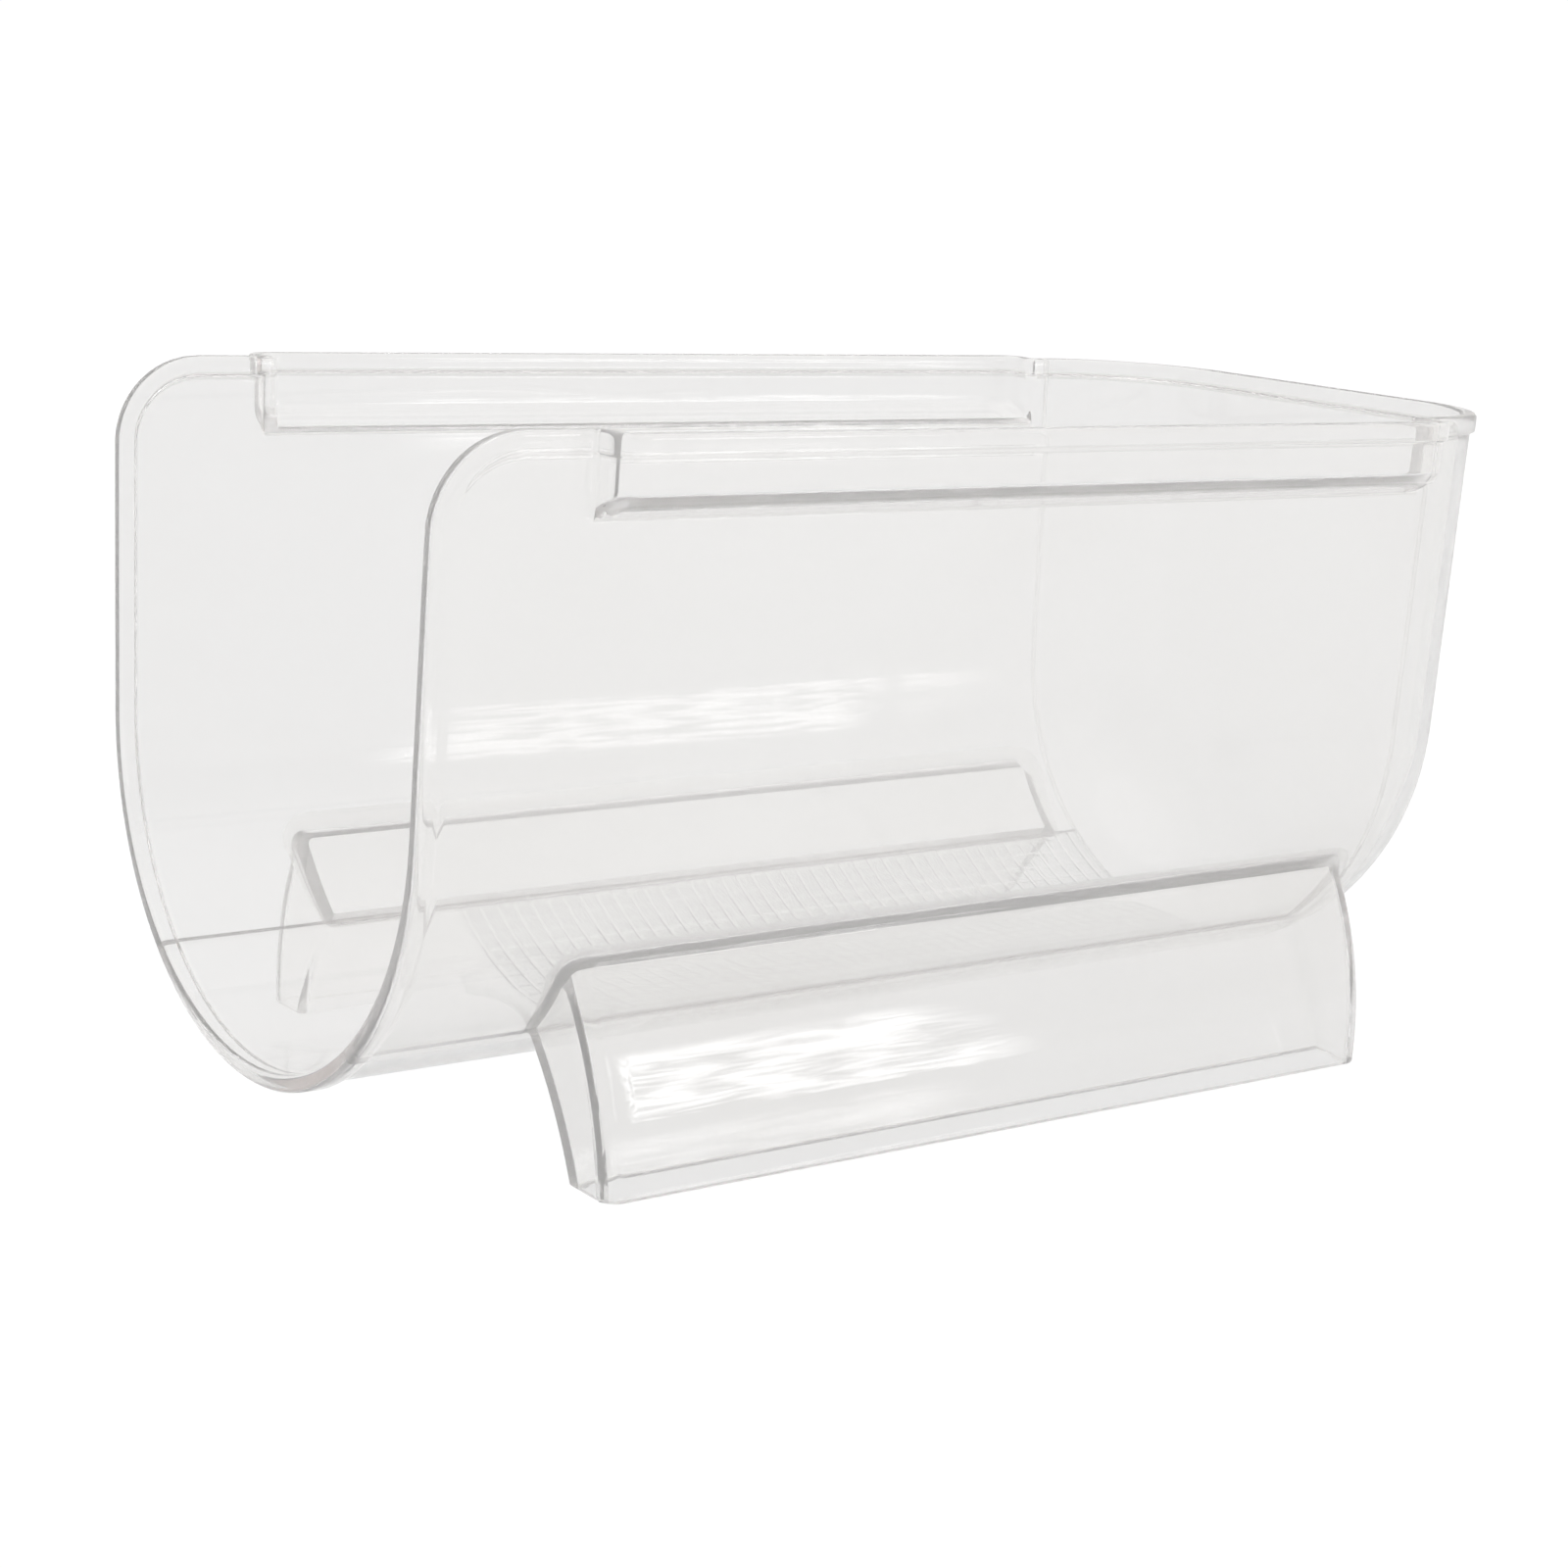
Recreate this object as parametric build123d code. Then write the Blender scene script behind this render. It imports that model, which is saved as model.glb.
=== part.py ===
from build123d import *
import os
from math import atan2, cos, radians, sin, sqrt, tan

# Stackable bottle holder: a clear half-round trough on two hollow feet.
#
# The bottle lies in the trough, with its neck towards the open front.  The feet of one holder
# stand in the stacking rails along the top edges of the holder below.
#
# Millimetres.  X runs across (the right side is +X), Y from the front lip to the rear wall, and
# Z up.  The bodies are built with the front rim's face at Y = 0, and are written with the origin
# on the ground, under the middle of the holder's bounding box.

# ---- Trough ---------------------------------------------------------------------------------
overall_length = 210.0        # face of the front rim to the back of the rear rim
overall_height = 108.0        # ground to the top of the rim
trough_radius = 45.4          # inside of the half-round trough
wall = 1.8                    # every moulded wall
wall_draft = 1.8              # degrees that each side wall leans out above the half-round
ground_gap = 7.4              # ground to the underside of the front lip
seam_angle = 40.4             # degrees from straight down to the seam of the floor strip
rear_corner_radius = 24.5     # outside of the rim, and of the sweep from walls to rear wall

# ---- Rim ------------------------------------------------------------------------------------
rim_proud = 0.8               # how far the rim stands out from the wall
rim_depth = 3.4               # its width, measured in from the free edge
front_corner_radius = 13.5    # free edge, where the front rim turns into the top rim

# ---- Stacking rails -------------------------------------------------------------------------
rail_start = 26.5             # front face to the inside of the rail's front end
rail_rear_gap = 4.1           # inside of the rail's rear end to where the rear sweep begins
rail_step = 5.6               # how far the rail stands outside the side wall
rail_depth = 8.4              # top of the rim to the outer edge of the shelf
shelf_fall = 2.6              # how much lower the shelf's inner edge is
rail_inside_radius = 0.8      # inside corners of the rail

# ---- Feet -----------------------------------------------------------------------------------
foot_side_clearance = 0.5     # foot to rail, across
foot_front_clearance = 3.5    # foot to rail, at the front end
foot_rear_clearance = 1.2     # foot to rail, at the rear end
foot_base_width = 10.7        # across the bottom of a foot
foot_top_angle = 61.5         # degrees from straight down to the crease above the foot
foot_end_draft = 3.5          # degrees that the end walls of a foot lean out, going up
foot_panel_bulge = 1.0        # how far the inner panel of a foot bows out
foot_corner_radius = 3.0      # upright corners on the outside of a foot

# ---- Worked out from the sizes above --------------------------------------------------------
margin = 20.0                                        # how far a cutting body overshoots
draft = radians(wall_draft)
wall_radius = trough_radius + wall
rim_radius = wall_radius + rim_proud
axis_height = ground_gap + rim_radius                # height of the centre of the half-round
rear_start = overall_length - rear_corner_radius     # the rear wall's sweep begins here
rail_end = rear_start - rail_rear_gap                # inside of the rail's rear end
shelf_height = overall_height - rail_depth           # outer edge of the shelf
reach = rim_radius + rail_step + margin              # half the width of a cutting body


def half_width(radius, height):
    """Half the width, at a height, of the trough section that has this radius."""
    tangent_height = axis_height - radius * sin(draft)
    return radius * cos(draft) + (height - tangent_height) * tan(draft)


def on_wall(angle):
    """The point of the trough's outer surface at an angle from straight down, as (x, z)."""
    turn = radians(angle)
    return wall_radius * sin(turn), axis_height - wall_radius * cos(turn)


shelf_inner_x = half_width(trough_radius, shelf_height)
shelf_outer_x = shelf_inner_x + rail_step
shelf_slope = atan2(shelf_fall, rail_step)
foot_outer_x = shelf_outer_x - foot_side_clearance
foot_inner_x = foot_outer_x - foot_base_width
foot_front = rail_start + foot_front_clearance
foot_rear = rail_end - foot_rear_clearance


# ---- Cutting and building bodies ------------------------------------------------------------
def prism_along_y(points, start, end):
    """A prism with an outline of (x, z) points, from one y to another."""
    outline = Polyline([(x, start, z) for x, z in points], close=True)
    return extrude(make_face(outline), amount=end - start, dir=(0, 1, 0))


def tub(radius, front, rear, corner_radius):
    """The filled trough: half-round below, leaning walls above, swept round at the rear."""
    top = overall_height + margin
    tangent_x = radius * cos(draft)
    tangent_z = axis_height - radius * sin(draft)
    top_x = half_width(radius, top)
    belly = ThreePointArc((-tangent_x, front, tangent_z),
                          (0, front, axis_height - radius),
                          (tangent_x, front, tangent_z))
    right = Line((tangent_x, front, tangent_z), (top_x, front, top))
    lid = Line((top_x, front, top), (-top_x, front, top))
    left = Line((-top_x, front, top), (-tangent_x, front, tangent_z))
    body = extrude(make_face([belly, right, lid, left]), amount=rear - front, dir=(0, 1, 0))
    rear_edges = [edge for edge in body.edges()
                  if abs(edge.center().Y - rear) < wall / 2 and edge.center().Z < top - wall]
    return fillet(rear_edges, corner_radius)


def shelf_line(x, thickness):
    """Height of the shelf's slope at x, a thickness below its upper surface."""
    rise = (x - shelf_outer_x) * tan(shelf_slope)
    return shelf_height + rise - thickness / cos(shelf_slope)


def rail_block(thickness):
    """The filled space of the right rail, grown outwards by a thickness of plastic."""
    top = overall_height + margin
    outer_low = shelf_outer_x + thickness
    outer_high = outer_low + (top - shelf_height) * tan(draft)
    inner_x = shelf_inner_x - rail_step
    points = [(inner_x, shelf_line(inner_x, thickness)),
              (outer_low, shelf_line(outer_low, thickness)),
              (outer_high, top),
              (inner_x, top)]
    block = prism_along_y(points, rail_start - thickness, rail_end + thickness)
    outside = block.faces().sort_by(Axis.X)[-1]
    rounded = [edge for edge in outside.edges() if edge.center().Z < top - wall]
    return fillet(rounded, rail_inside_radius + thickness)


def both_sides(body):
    """A body of the right side, and its mirror image on the left."""
    return body + mirror(body, about=Plane.YZ)


def side_view_region(inset):
    """Everything behind and below the free edge, less a band of this width along the edge."""
    corner = front_corner_radius
    top = overall_height - inset
    bend = corner - (corner - inset) * cos(radians(45))
    far = overall_length + margin
    upright = Line((0, inset, -margin), (0, inset, overall_height - corner))
    turn = ThreePointArc((0, inset, overall_height - corner),
                         (0, bend, overall_height - bend),
                         (0, corner, top))
    edge = Line((0, corner, top), (0, far, top))
    back = Line((0, far, top), (0, far, -margin))
    under = Line((0, far, -margin), (0, inset, -margin))
    face = make_face([upright, turn, edge, back, under])
    return extrude(face, amount=reach, dir=(1, 0, 0), both=True)


def seam_wedge():
    """The wedge below the trough's axis that holds the floor strip, between its two seams."""
    turn = radians(seam_angle)
    far = 2 * reach
    points = [(0, axis_height),
              (far * sin(turn), axis_height - far * cos(turn)),
              (-far * sin(turn), axis_height - far * cos(turn))]
    return prism_along_y(points, -margin, overall_length + margin)


def right_half(front, rear, bottom=-margin):
    """All space on the right of the middle and above the bottom, from one y to another."""
    top = overall_height + margin
    return prism_along_y([(0, bottom), (reach, bottom), (reach, top), (0, top)], front, rear)


def rail_region():
    """The space that holds the right rail's plastic and the rim along it."""
    inner_x = shelf_inner_x - rail_step
    points = [(inner_x, shelf_line(inner_x, wall)),
              (reach, shelf_line(reach, wall)),
              (reach, overall_height + margin),
              (inner_x, overall_height + margin)]
    return prism_along_y(points, rail_start - wall, rail_end + wall)


# ---- The moulding's parts -------------------------------------------------------------------
def inner_space():
    """Everything inside the trough and the rails."""
    rear = overall_length - rim_proud - wall
    corner = rear_corner_radius - rim_proud - wall
    return tub(trough_radius, -margin, rear, corner) + both_sides(rail_block(0))


def wall_shell():
    """The thin shell of the trough and the rails, below the rim."""
    rear = overall_length - rim_proud
    skin = tub(wall_radius, 0, rear, rear_corner_radius - rim_proud)
    skin += both_sides(rail_block(wall))
    return (skin - inner_space()) & side_view_region(rim_depth)


def rim_band():
    """The thicker band along the whole free edge."""
    skin = tub(rim_radius, 0, overall_length, rear_corner_radius)
    skin += both_sides(rail_block(wall + rim_proud))
    band = side_view_region(0) - side_view_region(rim_depth)
    return (skin - inner_space()) & band


def foot_section(thickness):
    """Outline of the right foot, set in by a thickness, from below the ground to the trough.

    The outer panel is an arc that stands upright at the ground and meets the trough at the
    crease; the inner panel bows a little between the seam and the ground.
    """
    crease_x, crease_z = on_wall(foot_top_angle)
    seam_x, seam_z = on_wall(seam_angle)
    flare = foot_outer_x - crease_x
    panel_radius = (flare ** 2 + crease_z ** 2) / (2 * flare)
    centre_x = foot_outer_x - panel_radius
    crease_turn = atan2(crease_z, crease_x - centre_x)
    radius = panel_radius - thickness
    outer_points = [(centre_x + radius * cos(turn), radius * sin(turn))
                    for turn in (0, crease_turn / 2, crease_turn)]

    run_x, run_z = foot_inner_x - seam_x, -seam_z
    length = sqrt(run_x ** 2 + run_z ** 2)
    out_x, out_z = -run_z / length, run_x / length
    inner_points = []
    for share, bow in ((0, 0), (0.5, foot_panel_bulge), (1, 0)):
        inner_points.append((seam_x + share * run_x + (bow + thickness) * out_x,
                             seam_z + share * run_z + (bow + thickness) * out_z))

    def place(point):
        return point[0], 0, point[1]

    low_outer = (outer_points[0][0], -margin)
    low_inner = (inner_points[2][0], -margin)
    middle = (0, axis_height)
    lines = [Line(place(low_outer), place(outer_points[0])),
             ThreePointArc(*[place(point) for point in outer_points]),
             Line(place(outer_points[2]), place(middle)),
             Line(place(middle), place(inner_points[0])),
             ThreePointArc(*[place(point) for point in inner_points]),
             Line(place(inner_points[2]), place(low_inner)),
             Line(place(low_inner), place(low_outer))]
    return make_face(lines)


def foot_block(thickness):
    """The filled right foot, set in by a thickness, with leaning ends and rounded corners."""
    lean = tan(radians(foot_end_draft))
    low, high = -margin, axis_height
    body = extrude(foot_section(thickness), amount=overall_length, dir=(0, 1, 0))
    front = foot_front + thickness
    rear = foot_rear - thickness
    ends = Polyline([(0, front - low * lean, low), (0, front - high * lean, high),
                     (0, rear + high * lean, high), (0, rear + low * lean, low)], close=True)
    body &= extrude(make_face(ends), amount=reach, dir=(1, 0, 0))
    crease_x, crease_z = on_wall(foot_top_angle)
    panel_x = (foot_outer_x + crease_x) / 2
    upright = [edge for edge in body.edges()
               if edge.center().X > panel_x and edge.bounding_box().size.Z > wall
               and edge.bounding_box().size.Y < margin]
    return fillet(upright, foot_corner_radius - thickness)


def right_foot():
    """The hollow right foot, open below, which meets the underside of the trough."""
    trough = tub(wall_radius, 0, overall_length - rim_proud, rear_corner_radius - rim_proud)
    hollow = foot_block(0) - foot_block(wall)
    return (hollow - trough) & right_half(0, overall_length, bottom=0)


def write_part(name, body):
    """Centre a body over the origin, front to back, and write it as its own file."""
    placed = Pos(0, -overall_length / 2, 0) * body
    export_step(placed, os.path.join("parts", name + ".step"))


def main():
    """Cut the shell and the rim into their parts, add the feet, and write every part."""
    os.makedirs("parts", exist_ok=True)
    shell = wall_shell()
    rim = rim_band()
    wedge = seam_wedge()
    rails = rail_region()
    rail_front = rail_start - wall
    rail_rear = rail_end + wall
    front_space = both_sides(right_half(0, rail_rear))
    rear_space = both_sides(right_half(rail_rear, overall_length + margin))

    write_part("trough_floor", shell & wedge & front_space)
    write_part("rear_wall", shell & rear_space)
    write_part("rear_rim", rim & rear_space)
    write_part("front_lip", rim & wedge)

    right_parts = {
        "side_wall": (shell & right_half(0, rail_rear)) - wedge - rails,
        "stacking_rail": shell & rails,
        "top_rim": rim & rails,
        "front_rim": (rim & right_half(0, rail_front)) - wedge,
        "foot": right_foot(),
    }
    for name, body in right_parts.items():
        write_part("right_" + name, body)
        write_part("left_" + name, mirror(body, about=Plane.YZ))


main()
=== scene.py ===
"""The looks of a clear, stackable bottle holder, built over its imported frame.

Metres, in the frame's own axes: X across, Y from the open front to the rear wall, Z up from the
ground.  Sizes are named once, in HolderSizes, and every surface is worked out from them.
"""
import logging
from dataclasses import dataclass, field
from enum import Enum
from math import asin, atan2, cos, hypot, pi, radians, sin, tan
from typing import Any, Union

import bmesh
import bpy
import numpy as np
from mathutils import Matrix, Vector


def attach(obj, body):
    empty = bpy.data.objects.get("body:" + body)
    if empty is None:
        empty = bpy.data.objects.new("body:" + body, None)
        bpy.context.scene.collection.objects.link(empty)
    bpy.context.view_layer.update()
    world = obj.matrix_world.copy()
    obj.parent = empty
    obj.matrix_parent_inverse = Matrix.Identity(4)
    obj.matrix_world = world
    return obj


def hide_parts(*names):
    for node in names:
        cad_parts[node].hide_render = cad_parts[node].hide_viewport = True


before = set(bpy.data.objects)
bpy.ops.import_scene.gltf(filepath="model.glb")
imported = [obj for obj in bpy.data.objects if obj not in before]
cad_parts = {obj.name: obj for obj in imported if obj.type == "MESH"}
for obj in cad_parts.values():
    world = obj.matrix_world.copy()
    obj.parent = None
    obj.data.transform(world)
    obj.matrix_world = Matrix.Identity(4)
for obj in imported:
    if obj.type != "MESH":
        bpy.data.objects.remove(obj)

MM = 0.001
MERGE_DISTANCE = 2e-6       # vertices closer than this are one
FLAT_DISTANCE = 1e-7        # edges shorter than this are dissolved
LEAST_DISTANCE = 1e-9       # guards a division
CLEAR_BOUNCES = 128         # light runs a long way inside a clear wall
HAZE_BOUNCES = 24
SHADOW_LAYERS = 64
log = logging.getLogger("bottle_holder")


# ---- Sizes ----------------------------------------------------------------------------------
@dataclass(frozen=True)
class HolderSizes:
    """The holder's driving sizes, in metres and radians."""

    length: float = 210.0 * MM
    height: float = 108.0 * MM
    trough_radius: float = 45.4 * MM
    wall: float = 1.8 * MM
    draft: float = radians(1.8)
    ground_gap: float = 7.4 * MM
    seam_angle: float = radians(40.4)
    sweep_radius: float = 24.5 * MM
    rim_proud: float = 0.8 * MM
    rim_depth: float = 3.4 * MM
    front_corner: float = 13.5 * MM
    rail_start: float = 26.5 * MM
    rail_rear_gap: float = 4.1 * MM
    rail_step: float = 5.6 * MM
    rail_depth: float = 8.4 * MM
    shelf_fall: float = 2.6 * MM
    edge_round: float = 0.8 * MM
    foot_side_clearance: float = 0.5 * MM
    foot_front_clearance: float = 3.5 * MM
    foot_rear_clearance: float = 1.2 * MM
    foot_base_width: float = 10.7 * MM
    foot_top_angle: float = radians(61.5)
    foot_end_draft: float = radians(3.5)
    foot_panel_bulge: float = 1.0 * MM
    foot_corner: float = 3.0 * MM

    @property
    def rim(self) -> float:
        """Thickness of the rim."""
        return self.wall + self.rim_proud

    @property
    def axis_height(self) -> float:
        """Height of the half-round's centre."""
        return self.ground_gap + self.trough_radius + self.rim

    @property
    def sweep_start(self) -> float:
        """Distance from the front to where the rear sweep begins."""
        return self.length - self.sweep_radius

    @property
    def rail_end(self) -> float:
        """Distance from the front to the inside of the rail's rear end."""
        return self.sweep_start - self.rail_rear_gap

    @property
    def shelf_height(self) -> float:
        """Height of the shelf's outer edge."""
        return self.height - self.rail_depth

    @property
    def shelf_outer(self) -> float:
        """Half the width between the outer edges of the two shelves."""
        return float(self.half_width(self.trough_radius, self.shelf_height)) + self.rail_step

    def half_width(self, radius: Any, height: Any) -> Any:
        """Half the width of a section at a height on its straight, leaning part.

        Args:
            radius: Radius of the section's half-round, a number or an array.
            height: Height above the ground, a number or an array.

        Returns:
            The tangent point's half width, plus tan(draft) times the height above it.
        """
        tangent = self.axis_height - radius * sin(self.draft)
        return radius * cos(self.draft) + (height - tangent) * tan(self.draft)


# ---- Mesh tools -----------------------------------------------------------------------------
def smoothstep(value: np.ndarray) -> np.ndarray:
    """Zero below 0, one above 1, and 3v^2 - 2v^3 between them."""
    held = np.clip(value, 0.0, 1.0)
    return held * held * (3.0 - 2.0 * held)


def grid_faces(rows: int, columns: int, start: int = 0) -> np.ndarray:
    """The quads of a grid of vertices.

    Args:
        rows: Number of rows of vertices.
        columns: Number of vertices in each row.
        start: Index of the grid's first vertex.

    Returns:
        An array of four vertex indices for each quad.
    """
    index = start + np.arange(rows * columns).reshape(rows, columns)
    corners = (index[:-1, :-1], index[:-1, 1:], index[1:, 1:], index[1:, :-1])
    return np.stack(corners, axis=-1).reshape(-1, 4)


def strip_faces(first: np.ndarray, second: np.ndarray) -> np.ndarray:
    """The quads between two lines of vertex indices of the same length."""
    return np.stack((first[:-1], first[1:], second[1:], second[:-1]), axis=-1)


def make_piece(name: str, points: np.ndarray, faces: np.ndarray, sharp: float,
               **marks: np.ndarray) -> bpy.types.Object:
    """Makes a closed, smooth-shaded object from arrays.

    Args:
        name: The object's name.
        points: Vertex positions in metres.
        faces: Four vertex indices for each face.
        sharp: Angle in degrees above which an edge is shaded as a crease.
        marks: Numbers to store on the vertices, by attribute name.

    Returns:
        The object, at the origin, with its doubles merged and its faces outward.
    """
    mesh = bpy.data.meshes.new(name)
    mesh.from_pydata(points, [], faces.tolist())
    for mark, values in marks.items():
        mesh.attributes.new(mark, "FLOAT", "POINT").data.foreach_set("value", values)
    work = bmesh.new()
    work.from_mesh(mesh)
    bmesh.ops.remove_doubles(work, verts=work.verts, dist=MERGE_DISTANCE)
    bmesh.ops.dissolve_degenerate(work, edges=work.edges, dist=FLAT_DISTANCE)
    bmesh.ops.recalc_face_normals(work, faces=work.faces)
    limit = radians(sharp)
    for edge in work.edges:
        edge.smooth = edge.calc_face_angle(0.0) < limit
    open_edges = sum(1 for edge in work.edges if not edge.is_manifold)
    if work.calc_volume(signed=True) < 0:
        bmesh.ops.reverse_faces(work, faces=work.faces)
    work.to_mesh(mesh)
    work.free()
    mesh.polygons.foreach_set("use_smooth", [True] * len(mesh.polygons))
    piece = bpy.data.objects.new(name, mesh)
    bpy.context.scene.collection.objects.link(piece)
    log.info("%s: %d faces, %d open edges", name, len(mesh.polygons), open_edges)
    return piece


# ---- The trough's surface -------------------------------------------------------------------
class Skin(Enum):
    """Which face of the plastic a sheet is."""

    INSIDE = "inside"
    OUTSIDE = "outside"


@dataclass(frozen=True)
class RowPlan:
    """The rows of the trough's grid, from the front edge to the middle of the rear wall.

    Each row has a distance from the front and a share of the rail's step, both of which change
    with the offset from the inside face, then a turn round the rear sweep and a share of the
    way in to the middle of the rear wall.
    """

    along: np.ndarray
    along_slope: np.ndarray
    step: np.ndarray
    step_slope: np.ndarray
    turn: np.ndarray
    close: np.ndarray


@dataclass
class TroughForm:
    """Works out points on the trough's two faces.

    The grid's columns run from the top of the right wall, down past the rail's shelf and round
    the half-round, to the top of the left wall.
    """

    sizes: HolderSizes = field(default_factory=HolderSizes)
    lip_round: float = 0.85 * MM
    step_width: float = 0.5 * MM
    rail_rows: tuple[float, ...] = (4.2 * MM, 5.4 * MM, 6.8 * MM)
    front_rows: tuple[float, ...] = (4.4 * MM, 6.0 * MM, 8.0 * MM, 10.5 * MM, 13.5 * MM,
                                     17.0 * MM, 20.4 * MM)
    rail_margin: float = 4.0 * MM
    behind_rail: float = 4.4 * MM
    first_turn: float = radians(11)
    closing_shares: tuple[float, ...] = (0.15, 0.4, 0.7, 1.0)
    wall_way: float = 40.0 * MM
    lip_points: int = 6
    rim_points: int = 4
    step_points: int = 8
    arc_points: int = 6
    shelf_points: int = 4
    wall_points: int = 10
    belly_points: tuple[int, int, int] = (9, 8, 14)
    length_points: int = 32
    sweep_points: int = 16

    def edge_depths(self) -> np.ndarray:
        """Distances in from the free edge, as lines of the grid.

        Returns:
            Lines round the lip, at r(1 - sin turn), then evenly over the rim and down its step.
        """
        turn = np.linspace(pi / 2, 0.0, self.lip_points)
        lip = self.lip_round * (1.0 - np.sin(turn))
        start = self.sizes.rim_depth - self.step_width
        rim = np.linspace(self.lip_round, start, self.rim_points)[1:]
        step = np.linspace(start, self.sizes.rim_depth, self.step_points)[1:]
        return np.concatenate([lip, rim, step])

    def offset(self, depth: np.ndarray, skin: Skin) -> np.ndarray:
        """How far a face stands outside the trough's smooth inside face.

        Args:
            depth: Distance in from the free edge.
            skin: Which face.

        Returns:
            A quarter round at the lip, and outside also the thickness, with the rim's step
            as a smoothstep.
        """
        edge = np.clip(self.lip_round - depth, 0.0, None)
        lip = self.lip_round - np.sqrt(self.lip_round ** 2 - edge ** 2)
        if skin is Skin.INSIDE:
            return lip
        start = self.sizes.rim_depth - self.step_width
        share = smoothstep((depth - start) / self.step_width)
        return self.sizes.rim - self.sizes.rim_proud * share - lip

    def corner_arc(self, corner: np.ndarray, before: np.ndarray, after: np.ndarray,
                   radius: float) -> np.ndarray:
        """Points round a corner: the start, plus radius times sin along and 1 - cos across.

        Args:
            corner: Where the two lines meet.
            before: Unit direction into the corner.
            after: Unit direction out of it.
            radius: Radius of the round.

        Returns:
            An array of points, from the first tangent point to the second.
        """
        turn = np.arccos(np.clip(before @ after, -1.0, 1.0))
        across = after - (after @ before) * before
        across /= np.linalg.norm(across)
        start = corner - before * radius * np.tan(turn / 2)
        phi = np.linspace(0.0, turn, self.arc_points)[:, None]
        return start + radius * (np.sin(phi) * before + (1.0 - np.cos(phi)) * across)

    def rail_section(self, offset: float) -> np.ndarray:
        """The rail's section from the top edge, over the shelf, to the side wall.

        Args:
            offset: How far outside the inside face the section is.

        Returns:
            Points of (x, z): down the rail's wall, round onto the sloping shelf, along it, and
            round into the side wall.
        """
        s = self.sizes
        slope = atan2(s.shelf_fall, s.rail_step)
        down = np.array([-sin(s.draft), -cos(s.draft)])
        inward = np.array([-cos(slope), -sin(slope)])
        on_rail = np.array([s.shelf_outer + offset, s.shelf_height])
        on_shelf = np.array([s.shelf_outer, s.shelf_height - offset / cos(slope)])
        on_wall = np.array([s.half_width(s.trough_radius + offset, s.shelf_height),
                            s.shelf_height])
        outer = on_rail + down * np.linalg.solve(np.stack([down, -inward], 1),
                                                 on_shelf - on_rail)[0]
        inner = on_wall + down * np.linalg.solve(np.stack([down, -inward], 1),
                                                 on_shelf - on_wall)[0]
        depths = np.concatenate([self.edge_depths(), self.rail_rows])
        z = s.height - depths
        top = np.stack([s.shelf_outer + offset + (z - s.shelf_height) * tan(s.draft), z], 1)
        first = self.corner_arc(outer, down, inward, s.edge_round + offset)
        second = self.corner_arc(inner, inward, down, s.edge_round)
        share = np.linspace(0.0, 1.0, self.shelf_points)[1:-1, None]
        shelf = first[-1] + (second[0] - first[-1]) * share
        return np.concatenate([top, first, shelf, second])

    def belly_angles(self) -> np.ndarray:
        """The half-round's columns.

        Returns:
            Angles from straight down, from the tangent point, past the foot's crease and the
            seam, to the bottom.
        """
        s = self.sizes
        n_high, n_middle, n_low = self.belly_points
        high = np.linspace(pi / 2 - s.draft, s.foot_top_angle, n_high)
        middle = np.linspace(s.foot_top_angle, s.seam_angle, n_middle)[1:]
        low = np.linspace(s.seam_angle, 0.0, n_low)[1:]
        return np.concatenate([high, middle, low])

    def rows(self) -> RowPlan:
        """The plan of the grid's rows.

        Each end of the rail is two quarter rounds, out = r(1 - cos phi) and then
        step - r + r sin phi, so that the rail's end wall stands square to the side wall.

        Returns:
            The plan.
        """
        s = self.sizes
        front = np.concatenate([self.edge_depths(), self.front_rows])
        phi = np.linspace(0.0, pi / 2, self.arc_points)
        out = s.edge_round
        first = np.stack([out * (np.sin(phi) - 1.0), 0 * phi - 1.0,
                          out * (1.0 - np.cos(phi)), 0 * phi], 1)
        second = np.stack([out * (1.0 - np.cos(phi)), -np.cos(phi),
                           s.rail_step - out + out * np.sin(phi), np.sin(phi) - 1.0], 1)
        end = np.concatenate([first, second])
        along, along_slope = s.rail_start + end[:, 0], end[:, 1]
        step, step_slope = end[:, 2] / s.rail_step, end[:, 3] / s.rail_step
        middle = np.linspace(s.rail_start + self.rail_margin, s.rail_end - self.rail_margin,
                             self.length_points)
        rear_along = s.rail_end - end[::-1, 0]
        after = np.array([s.rail_end + self.behind_rail])
        turn = np.linspace(self.first_turn, pi / 2, self.sweep_points)
        close = np.array(self.closing_shares)
        straight = np.concatenate([front, along, middle, rear_along, after])
        zero = np.zeros
        n_front, n_mid, n_swept, n_close = len(front), len(middle), len(turn), len(close)
        return RowPlan(
            along=np.concatenate([straight, zero(n_swept + n_close)]),
            along_slope=np.concatenate([zero(n_front), along_slope, zero(n_mid),
                                        -along_slope[::-1], zero(1 + n_swept + n_close)]),
            step=np.concatenate([zero(n_front), step, np.ones(n_mid), step[::-1],
                                 zero(1 + n_swept + n_close)]),
            step_slope=np.concatenate([zero(n_front), step_slope, zero(n_mid),
                                       step_slope[::-1], zero(1 + n_swept + n_close)]),
            turn=np.concatenate([zero(len(straight)), turn, np.full(n_close, pi / 2)]),
            close=np.concatenate([zero(len(straight) + n_swept), close]))

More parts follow.
